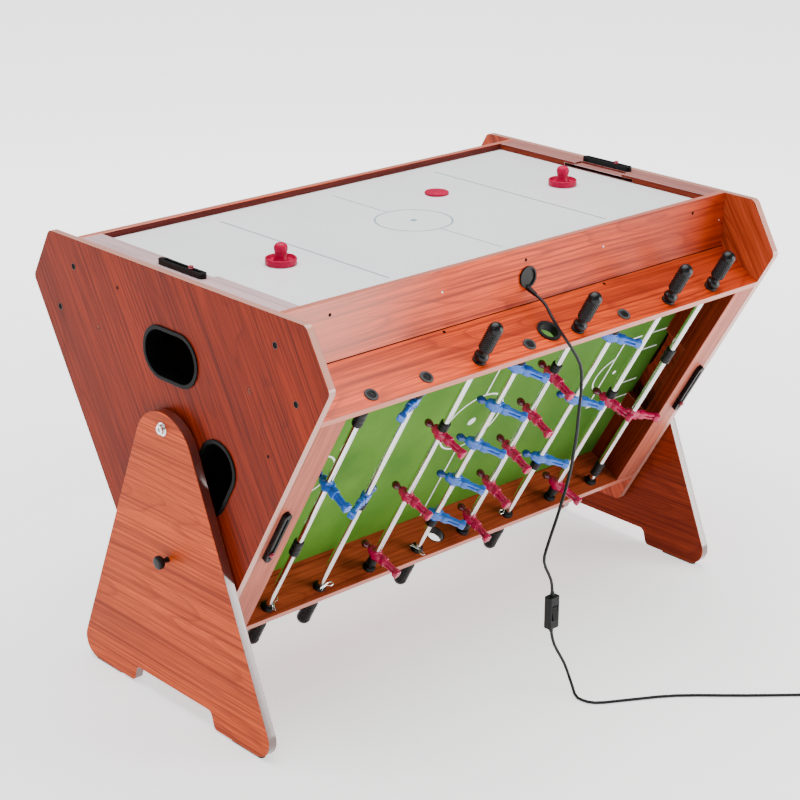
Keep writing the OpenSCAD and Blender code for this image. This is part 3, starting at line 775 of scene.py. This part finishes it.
# The three boxes: name, how strong the painted pale reflection on their boards is at -x, and the light and
# dark tones inside them, painted light and shade
BOXES = [
    ("hockey", 0.60, (0.13, 0.018, 0.013), (0.055, 0.006, 0.005)),
    ("foosball", 0.14, (0.42, 0.074, 0.026), (0.16, 0.022, 0.008)),
    ("pool", 0.0, (0.30, 0.040, 0.010), (0.12, 0.012, 0.003)),
]
for k, (part, pale, light, dark) in enumerate(BOXES):
    grain = (1, 0, 0), tuple(OUT[k])
    # Outer faces: grain with a painted pale reflection towards -x, as strong as the box's amount, and
    # painted shade towards +x.
    outer = wood(
        f"board_woodgrain_{k}", *grain, 5.0 + 7 * k, (0.78, 0.078, 0.007), (0.16, 0.008, 0.002),
        0.6, 0.18, (0.86, 0.42, 0.34), pale,
    )
    # Inner faces: each box's own light and dark tones, which paint in how lit or shaded its inside is.
    inner = wood(f"board_inner_painted_shading_woodgrain_{k}", *grain, 71.0 + k, light, dark, 0.5)
    soften(
        part + "_side_boards", [outer, BOARD_BAND, inner], 0.0009,
        lambda n, c, k=k: board_side(n, c, OUT[k], ACROSS[k]),
    )


def rail_side(normal, centre):
    """Material number of a hockey end rail's face: its sides, in painted shade, the top of the left rail,
    with a painted reflection, and the top of the right rail, in painted shade.
    """
    if normal.z < FLAT:
        return 1
    return 2 if centre.x > 0 else 0


soften("hockey_playfield", [WHITE_SHEET, BLACK], 0.0003, lambda n, c: 0 if n.z > FLAT else 1)
soften("hockey_end_rails", [HOCKEY_RAIL_REFLECTION, RAIL_SIDE_SHADED, HOCKEY_RAIL_FAR_SHADED], 0.0010, rail_side)
# Foosball end rails: painted reflection on the tops, painted shade on the other faces.
soften("foosball_end_rails", [RAIL_TOP_REFLECTION, RAIL_INNER_SHADED], 0.0010, lambda n, c: 0 if n.dot(OUT[1]) > FLAT else 1)
soften("blower_housing", [BLACK], 0.0015)
soften("blower_fan", [FAN_GREY], 0.0004, segments=1)
soften("foosball_playfield", [TURF], 0.0003)
soften("board_grommets", [BLACK], 0.0008)
soften("pool_bed", [POOL_CLOTH, SLATE], 0.0006, lambda n, c: 0 if n.dot(OUT[2]) > FLAT else 1)
soften("pool_cushions", [POOL_CLOTH], 0.0012)
soften("scorer_bars", [BLACK_GLOSS], 0.0014, segments=3)
paint("telescope_rods", TUBE)

# A dark line along each concave seam between two boards: the joint, with painted shade in its crease.
SEAM_Y = BOX_HALF + 0.0003
SEAM_Z = APOTHEM - (APOTHEM * math.sqrt(3) - BOX_HALF) * math.tan(math.pi / 6)
bm = bmesh.new()
for k in range(3):
    ends = [face(k) @ Vector((x, -SEAM_Y, SEAM_Z)) for x in (-INSIDE_X + 0.001, INSIDE_X - 0.001)]
    add_tube(bm, ends, 0.0011, 8)
piece("board_seams", bm, PAINTED_SHADOW, "cabinet")


def add_flutes(bm, profile, n, depth, place):
    """Adds a knob about z whose side is fluted: profile is (radius, z, how much flute)."""
    rings = []
    for r, z, much in profile:
        ring = []
        for k in range(n):
            t = 2 * math.pi * k / n
            rr = r - (depth * much if k % 2 else 0)
            ring.append(bm.verts.new(place @ Vector((rr * math.cos(t), rr * math.sin(t), z))))
        rings.append(ring)
    bridge(bm, rings)
    bm.faces.new(rings[0][::-1])
    bm.faces.new(rings[-1])


KNOB_OUT = 0.0125                               # the knob's collar stands this far off the leg
KNOB = [
    (0.0048, -KNOB_OUT, 0), (0.0048, 0.0003, 0), (0.0088, 0.0006, 0), (0.0105, 0.0012, 0),
    (0.0126, 0.0032, 0.4), (0.0130, 0.0045, 1), (0.0130, 0.0095, 1), (0.0124, 0.0115, 0.5),
    (0.0108, 0.0127, 0), (0.0070, 0.0134, 0), (0.0030, 0.0135, 0),
]
for name, s in (("left", -1), ("right", 1)):
    at = end(s) @ shift(LEG_OUT + KNOB_OUT, 0, AXLE - LOCK_BELOW) @ turn(90, "Y")
    bm = bmesh.new()
    add_flutes(bm, KNOB, 48, 0.0007, at)
    add_lathe(bm, [(0, 0.0134), (0.0040, 0.0134), (0.0045, 0.0130), (0.0045, 0.0120)], 24, at)
    add_lathe(bm, [(0.0049, -0.0300), (0.0049, -0.0126), (0, -0.0126)], 24, at)
    body = "lock_knob_" + name
    piece("lock_knob_moulded_" + name, bm, BLACK, body, stands_for=body)

# Screws: cam bolts in the end panels, and dots where the rails are fixed through the boards. Their
# near-black discs and dots are painted shade in the holes.
SOCKET = [(0, 0.0002), (0.0048, 0.0002), (0.0052, 0.0004), (0.0056, 0.0002), (0.0058, -0.0002)]
CAM_RING = [(0.0055, 0.0), (0.0057, 0.0005), (0.0063, 0.0005), (0.0066, 0.0)]
DOT = [(0, 0.0002), (0.0024, 0.0002), (0.0030, 0.0004), (0.0033, -0.0002)]
SCREW_HEAD = [(0, 0.0003), (0.0016, 0.0003), (0.0022, -0.0002)]
OVER = 0.0001                                   # screws and print stand this far off a surface
CAM_R, CAM_ANGLES = 0.372, (60 - 8, 60 + 8)     # from the axle, and from each face's middle
PILOT_R, PILOT_ANGLE = 0.270, 35
RAIL_SCREW_X, RAIL_SCREW_BELOW = (-0.470, 0.0, 0.470), 0.024
SHEET_SCREW_X, SHEET_SCREW_BELOW = 0.210, 0.040
END_SCREW_X, END_SCREW_BELOW = 0.555, 0.053
LOW_SCREW_BELOW = 0.102


def screw_row(name, spots, profile, mat):
    bm = bmesh.new()
    for place in spots:
        add_lathe(bm, profile, 20, place)
    piece(name, bm, mat, "cabinet")


def panel_spot(s, angle, r):
    """Frame on the outside of an end panel, at r from the axle, with z outwards."""
    outer = end(s) @ shift(CABINET_X + OVER)
    return outer @ shift(z=AXLE) @ turn(angle, "X") @ shift(z=r) @ turn(90, "Y")


cams, pilots, dark, pale = [], [], [], []
for s in (-1, 1):
    for k in range(3):
        cams += [panel_spot(s, 120 * k + angle, CAM_R) for angle in CAM_ANGLES]
        pilots.append(panel_spot(s, 120 * k + PILOT_ANGLE, PILOT_R))
screw_row("panel_cam_bolts", cams, SOCKET, PAINTED_SHADOW)
screw_row("panel_cam_rings", cams, CAM_RING, CAM_BROWN)
screw_row("panel_pilot_holes", pilots, DOT, PAINTED_SHADOW)
for s in (1, -1):
    side = face(0) @ end(s) @ shift(0, -BOX_HALF - OVER, APOTHEM)
    dark += [side @ shift(x, 0, -RAIL_SCREW_BELOW) @ turn(90, "X") for x in RAIL_SCREW_X]
    for x, below in (
        (-SHEET_SCREW_X, SHEET_SCREW_BELOW), (SHEET_SCREW_X, SHEET_SCREW_BELOW),
        (END_SCREW_X, END_SCREW_BELOW),
    ):
        pale.append(side @ shift(x, 0, -below) @ turn(90, "X"))
for x in (-SHEET_SCREW_X, SHEET_SCREW_X):
    for k, s in ((1, 1), (2, -1)):
        at = face(k) @ shift(x, s * (BOX_HALF + OVER), APOTHEM - LOW_SCREW_BELOW)
        dark.append(at @ turn(-90 * s, "X"))
screw_row("board_screws_dark", dark, DOT, PAINTED_SHADOW)
screw_row("board_screws_pale", pale, SCREW_HEAD, ZINC)

# ---------------------------------------------------------------- printed lines


def add_ring(bm, r, w, place, n=96, span=(0.0, 360.0)):
    """Adds a flat printed arc of radius r and width w."""
    start, sweep = span[0], span[1] - span[0]
    full = sweep >= 360
    count = max(6, int(n * sweep / 360))
    edges = []
    for k in range(count + (0 if full else 1)):
        t = math.radians(start + sweep * k / count)
        c, s = math.cos(t), math.sin(t)
        edges.append([bm.verts.new(place @ Vector((q * c, q * s, OVER))) for q in (r - w / 2, r + w / 2)])
    for k in range(count):
        a, b = edges[k], edges[(k + 1) % len(edges)]
        bm.faces.new((a[0], a[1], b[1], b[0]))


def add_strip(bm, a, b, w, place):
    """Adds a flat printed line of width w from a to b."""
    a, b = Vector((*a, 0)), Vector((*b, 0))
    side = (b - a).normalized().cross(Vector((0, 0, 1))) * w / 2
    up = Vector((0, 0, OVER))
    bm.faces.new([bm.verts.new(place @ (p + up)) for p in (a + side, b + side, b - side, a - side)])


def add_disc(bm, r, place):
    """Adds a flat printed spot."""
    bm.faces.new([bm.verts.new(place @ p) for p in on_circle(r, 24, OVER)])


CIRCLE_R = 0.075
ICE_SIDE, ICE_GAP, ICE_LINE_X = 0.240, 0.0768, 0.282
ice = face(0) @ shift(z=APOTHEM - HOCKEY_DEPTH)
bm = bmesh.new()
add_ring(bm, CIRCLE_R, 0.0035, ice)
add_disc(bm, 0.007, ice)
add_strip(bm, (0, -ICE_SIDE), (0, -ICE_GAP), 0.003, ice)
add_strip(bm, (0, ICE_GAP), (0, ICE_SIDE), 0.003, ice)
for x in (-ICE_LINE_X, ICE_LINE_X):
    add_strip(bm, (x, -ICE_SIDE), (x, ICE_SIDE), 0.004, ice)
piece("hockey_lines", bm, LINE_GREY, "cabinet")

pitch = face(1) @ shift(z=APOTHEM - PITCH_DEPTH)
PITCH_END, PITCH_SIDE, INK = 0.510, 0.285, 0.004
GOAL_BOXES = ((0.385, 0.100), (0.450, 0.050))   # front of each box from the middle, and half width
bm = bmesh.new()
add_disc(bm, 0.010, pitch)
add_ring(bm, CIRCLE_R, INK, pitch)
for s in (1, -1):
    half = pitch @ end(s)
    add_strip(bm, (0, CIRCLE_R), (0, PITCH_SIDE), INK, half)
    for front, wide in GOAL_BOXES:
        for u in (-wide, wide):
            add_strip(bm, (front, u), (PITCH_END, u), INK, half)
        add_strip(bm, (front, -wide - INK / 2), (front, wide + INK / 2), INK, half)
    add_disc(bm, 0.005, half @ shift(0.410))
    add_ring(bm, 0.052, INK, half @ shift(0.405), 72, (114, 246))
piece("pitch_lines", bm, LINE_WHITE, "cabinet")

# ---------------------------------------------------------------- rods and players

GRIP_START = 0.306                              # from the rod's middle to its grip
KNURL = (0.0255, 0.0700)                        # the grip's patterned part, from the grip's start
GRIP_BASE = [
    (0.0066, 0), (0.0108, 0), (0.0128, 0.0014), (0.0139, 0.0045), (0.0139, 0.0075),
    (0.0128, 0.0110), (0.0104, 0.0134), (0.0092, 0.0155), (0.0090, 0.0178), (0.0096, 0.0200),
    (0.0118, 0.0222), (0.0130, 0.0240), (0.0134, KNURL[0]),
]
GRIP_R = 0.0139
DOME = [math.radians(a) for a in range(0, 85, 10)]
GRIP_CAP = [
    (0.0134, KNURL[1]),
    *[(GRIP_R * math.cos(a), 0.0721 + GRIP_R * math.sin(a)) for a in DOME],
    (0, 0.0860),
]


def add_knurl(bm, z0, z1, r, depth, n, rows, place):
    """Adds a sleeve of small pyramids, the moulded diamond pattern of a grip."""
    rings = []
    for j in range(rows + 1):
        z = z0 + (z1 - z0) * j / rows
        ring = []
        for k in range(n):
            t = 2 * math.pi * k / n
            rr = r - (depth if (j + k) % 2 else 0)
            ring.append(bm.verts.new(place @ Vector((rr * math.cos(t), rr * math.sin(t), z))))
        rings.append(ring)
    for j in range(rows):
        for k in range(n):
            m = (k + 1) % n
            a, b, c, d = rings[j][k], rings[j][m], rings[j + 1][m], rings[j + 1][k]
            for corners in ((a, b, c), (a, c, d)) if (j + k) % 2 else ((a, b, d), (b, c, d)):
                bm.faces.new(corners)


def grip(bm, place):
    at = place @ shift(z=GRIP_START)
    add_lathe(bm, GRIP_BASE, 36, at)
    add_knurl(bm, *KNURL, GRIP_R, 0.0012, 36, 18, at)
    add_lathe(bm, GRIP_CAP, 36, at)


# Sections of a player, from head to foot: (y, half x, half z, centre x, centre z, power)
MAN = [
    (-0.0379, 0.0012, 0.0012, 0.0002, 0, 2), (-0.0370, 0.0038, 0.0034, 0.0002, 0, 2),
    (-0.0350, 0.0062, 0.0056, 0.0003, 0, 2), (-0.0315, 0.0080, 0.0071, 0.0005, 0, 2),
    (-0.0280, 0.0083, 0.0073, 0.0006, 0, 2), (-0.0245, 0.0071, 0.0062, 0.0006, 0, 2),
    (-0.0220, 0.0054, 0.0050, 0.0002, 0, 2), (-0.0200, 0.0042, 0.0043, 0, 0, 2),
    (-0.0185, 0.0046, 0.0058, 0, 0, 2.1), (-0.0168, 0.0060, 0.0086, 0, 0, 2.3),
    (-0.0145, 0.0072, 0.0100, 0, 0, 2.6), (-0.0090, 0.0088, 0.0098, 0, 0, 2.8),
    (-0.0030, 0.0096, 0.0092, 0, 0, 3.0), (0.0030, 0.0096, 0.0090, 0, 0, 3.0),
    (0.0090, 0.0086, 0.0088, 0, 0, 3.0), (0.0128, 0.0074, 0.0088, 0, 0, 2.8),
    (0.0140, 0.0070, 0.0086, 0, 0, 2.8), (0.0150, 0.0078, 0.0100, 0, 0, 2.8),
    (0.0230, 0.0076, 0.0104, 0, 0, 3.0), (0.0262, 0.0072, 0.0104, 0, 0, 3.2),
    (0.0268, 0.0060, 0.0092, 0, 0, 3.2),
]
NECK_AT = 7             # the section of MAN where the head meets the shoulders
LEG = [
    (0.0255, 0.0058, 0.0042, 0, 0, 2.4), (0.0320, 0.0050, 0.0038, 0.0002, 0, 2.2),
    (0.0370, 0.0046, 0.0035, 0.0003, 0, 2.2), (0.0385, 0.0052, 0.0038, 0.0003, 0, 2.2),
    (0.0440, 0.0050, 0.0037, 0, 0, 2.2), (0.0500, 0.0042, 0.0034, 0, 0, 2.2),
    (0.0520, 0.0046, 0.0036, 0, 0, 2.2),
]
FOOT = [
    (0.0496, 0.0050, 0.0072, 0.0004, 0, 3), (0.0508, 0.0062, 0.0078, 0.0010, 0, 4),
    (0.0530, 0.0071, 0.0080, 0.0015, 0, 6), (0.0600, 0.0073, 0.0080, 0.0016, 0, 7),
    (0.0616, 0.0068, 0.0077, 0.0016, 0, 6), (0.0620, 0.0060, 0.0070, 0.0016, 0, 5),
]
ARM = [
    (-0.0155, 0.0022, 0.0014, 0, 0, 2), (-0.0140, 0.0034, 0.0022, 0, 0, 2),
    (-0.0060, 0.0036, 0.0022, 0.0010, 0, 2.2), (0.0010, 0.0034, 0.0021, 0.0024, 0, 2.2),
    (0.0080, 0.0030, 0.0020, 0.0040, 0, 2.2), (0.0105, 0.0034, 0.0020, 0.0046, 0, 2),
    (0.0130, 0.0026, 0.0015, 0.0048, 0, 2),
]
# The bush round the rod between a player's arms
HUB = [
    (0, -0.0110), (0.0085, -0.0110), (0.0092, -0.0103), (0.0092, 0.0103), (0.0085, 0.0110), (0, 0.0110),
]


def player(bm, place):
    """A plain moulded figure: its foot at +y, the rod through it along z, its head in a darker tone."""
    add_loft(bm, MAN[:NECK_AT + 1], 24, place, mat=1)
    add_loft(bm, MAN[NECK_AT:], 24, place)
    add_lathe(bm, HUB, 28, place)
    for s in (-1, 1):
        add_loft(bm, LEG, 14, place @ shift(z=0.0040 * s))
        add_loft(bm, ARM, 12, place @ shift(z=0.0088 * s))
    add_loft(bm, FOOT, 24, place)
    sole = place @ turn(-90, "X")
    for x in (-0.0002, 0.0034):
        add_prism(bm, rounded_box(0.0006, 0.013, 0.0003, 2), 0.0619, 0.0622, sole @ shift(x))


def men_pitch(n):
    """Distance between the players of a rod that has n of them."""
    return {2: 0.260, 3: 0.175}.get(n, 0.105)


def half_travel(n):
    """How far a rod with n players slides each way from the middle of its travel."""
    return 0.068 if n == 1 else 0.242 - (n - 1) * men_pitch(n) / 2


def man_at(n, k):
    """Place of player k along its rod, with the rod pushed fully in."""
    return -half_travel(n) + (k - (n - 1) / 2) * men_pitch(n)


# Rubber rings with three ribs, starting at the player's side
RING = [
    (0.0067, 0), (0.0088, 0), (0.0098, 0.0006), (0.0100, 0.0014), (0.0100, 0.0050),
    (0.0094, 0.0056), (0.0094, 0.0066), (0.0100, 0.0072), (0.0100, 0.0108), (0.0094, 0.0114),
    (0.0094, 0.0124), (0.0100, 0.0130), (0.0100, 0.0166), (0.0098, 0.0174), (0.0088, 0.0180),
    (0.0067, 0.0180),
]
BUMP_REACH = 0.0113                             # from the last player's middle to its rings
COLLAR_REACH = 0.175 - 0.018                    # the same for the goalkeepers' long collars
INSIDE = BOX_HALF - BOARD
OUTSIDE = INSIDE + BOARD
BUSH_IN = [
    (0.0098, INSIDE - 0.008), (0.0112, INSIDE - 0.0074), (0.0118, INSIDE - 0.0040),
    (0.0128, INSIDE - 0.0030), (0.0130, INSIDE - 0.0022), (0.0130, INSIDE - 0.0001), (0.0099, INSIDE),
]
NEAR_BUSH = [
    (0.0066, INSIDE - 0.008), *BUSH_IN, (0.0099, OUTSIDE), (0.0130, OUTSIDE + 0.0001),
    (0.0130, OUTSIDE + 0.0026), (0.0122, OUTSIDE + 0.0038), (0.0100, OUTSIDE + 0.0048),
    (0.0078, OUTSIDE + 0.0050), (0.0067, OUTSIDE + 0.0046), (0.0066, INSIDE - 0.008),
]
FAR_BUSH = [
    (0.0045, INSIDE - 0.008), *BUSH_IN, (0.0099, OUTSIDE + 0.0004), (0, OUTSIDE + 0.0004),
]
CAP_RING = [
    (0.0088, 0.0004), (0.0130, 0.0001), (0.0130, 0.0018), (0.0124, 0.0027), (0.0110, 0.0030),
    (0.0098, 0.0028), (0.0088, 0.0020), (0.0084, 0.0006),
]
CAP_DISH = [
    (0.0086, 0.0008), (0.0080, 0.0016), (0.0062, 0.0019), (0.0058, 0.0012), (0.0030, 0.0010),
    (0, 0.0010),
]
TUBE_WALL = [
    (0.0046, -0.2729), (0.0060, -0.2729), (0.0065, -0.2724), (0.0065, 0.3100), (0, 0.3100),
]

bushes, cap_rings, cap_dishes = bmesh.new(), bmesh.new(), bmesh.new()
for i, n in enumerate(MEN):
    rod = f"rod_{i + 1}"
    at = rod_frame(i)
    turned = at @ turn(TURN[i] if TOP[i] else -TURN[i], "Z")
    far = at @ turn(180, "X")
    outside = far @ shift(z=BOX_HALF)
    add_lathe(bushes, NEAR_BUSH, 40, at)
    add_lathe(bushes, FAR_BUSH, 40, far)
    add_lathe(cap_rings, CAP_RING, 40, outside)
    add_lathe(cap_dishes, CAP_DISH, 40, outside)
    for a in (20 + 31 * i, 110 + 31 * i):
        bar = rounded_box(0.0104, 0.0017, 0.0006, 2)
        add_prism(cap_dishes, bar, 0.0009, 0.0018, outside @ turn(a, "Z"))
    # tube and grip
    bm = bmesh.new()
    add_lathe(bm, TUBE_WALL, 32, turned)
    piece(rod + "_tube", bm, TUBE, rod, stands_for=rod)
    bm = bmesh.new()
    grip(bm, turned)
    piece(rod + "_grip", bm, GRIP, rod, stands_for=rod, degrees=24)
    # players
    bm = bmesh.new()
    for k in range(n):
        player(bm, turned @ shift(z=man_at(n, k)))
    team = [RED, HEAD_RED] if TOP[i] else [BLUE, HEAD_BLUE]
    piece(
        rod + "_players", bm, team, rod, stands_for=rod + "_men",
        degrees=50,
    )
    # rings, or collars twice as long on a goalkeeper's rod
    bm = bmesh.new()
    long = 2.0 if n == 1 else 1.0
    reach = COLLAR_REACH if n == 1 else BUMP_REACH
    profile = [(r, h * long) for r, h in RING]
    for s, middle in ((-1, man_at(n, 0)), (1, man_at(n, n - 1))):
        start = at @ shift(z=middle + s * reach)
        add_lathe(bm, profile, 32, start @ turn(180 if s < 0 else 0, "X"))
    piece(
        rod + "_rings", bm, RUBBER, rod + "_carriage", stands_for=rod + "_bumpers"
    )
piece("rod_bushes", bushes, BLACK, "cabinet", stands_for="rod_bushings")
piece("rod_end_rings", cap_rings, RING_GREY, "cabinet", stands_for="rod_bushings")
piece("rod_end_caps", cap_dishes, BLACK, "cabinet", stands_for="rod_bushings")

# Wire hairpins that keep four of the far bushings on the inner rods
CLIP = [
    (0.0075, 0.012), (0.0075, 0.004), (0.0078, -0.008), (0.0088, -0.016), (0.0125, -0.021),
    (0.0165, -0.019), (0.0170, -0.013), (0.0135, -0.009), (0.0098, -0.004), (0.0105, 0.006),
    (0.0128, 0.013),
]
bm = bmesh.new()
for i in (0, 1, 3, 5):
    at = rod_frame(i) @ turn(35 + 40 * i, "Z") @ shift(z=INSIDE - 0.0112)
    add_tube(bm, [at @ Vector((x, y, 0)) for x, y in CLIP], 0.0009, 8)
piece("bushing_clips", bm, ZINC, "cabinet")

# ---------------------------------------------------------------- mallets, puck, score sliders

MALLET = [
    (0, 0.0), (0.0265, 0.0), (0.0284, 0.0004), (0.0290, 0.0016), (0.0290, 0.0102), (0.0286, 0.0116),
    (0.0275, 0.0124), (0.0262, 0.0120), (0.0254, 0.0108), (0.0246, 0.0078), (0.0234, 0.0064),
    (0.0190, 0.0060), (0.0150, 0.0061), (0.0141, 0.0074), (0.0130, 0.0100), (0.0117, 0.0145),
    (0.0110, 0.0190), (0.0113, 0.0220), (0.0122, 0.0252), (0.0127, 0.0282), (0.0126, 0.0312),
    (0.0117, 0.0343), (0.0098, 0.0370), (0.0070, 0.0387), (0.0036, 0.0394), (0, 0.0395),
]
PUCK = [
    (0, 0.0), (0.0236, 0.0), (0.0243, 0.0005), (0.0245, 0.0010), (0.0245, 0.0040), (0.0243, 0.0046),
    (0.0236, 0.0050), (0.0205, 0.0050), (0.0200, 0.0046), (0.0130, 0.0046), (0.0126, 0.0048),
    (0, 0.0048),
]
GLIDE = 0.0002                                  # mallets and puck over the sheet
for name, x, y, profile in (
    ("mallet_left", -0.370, -0.050, MALLET),
    ("mallet_right", 0.405, -0.010, MALLET),
    ("puck", 0.165, 0.110, PUCK),
):
    bm = bmesh.new()
    add_lathe(bm, profile, 72, ice @ shift(x, y, GLIDE))
    piece(name + "_moulded", bm, PINK, name, stands_for=name)

SLIDER = [
    (0.0020, -0.0026), (0.0020, 0.0003), (0.0046, 0.0003), (0.0050, 0.0007), (0.0050, 0.0016),
    (0.0045, 0.0020), (0.0044, 0.0028), (0.0047, 0.0034), (0.0043, 0.0046), (0.0034, 0.0053),
    (0, 0.0053),
]
for game, k, along in (("hockey", 0, -0.025), ("foosball", 1, -0.042)):
    for side, s in (("left", -1), ("right", 1)):
        name = f"{game}_score_{side}"
        bm = bmesh.new()
        add_lathe(bm, SLIDER, 28, face(k) @ shift(s * SCORE_X, along, APOTHEM + SCORE_RISE))
        piece(name + "_slider", bm, DARK_RED, name, stands_for=name)
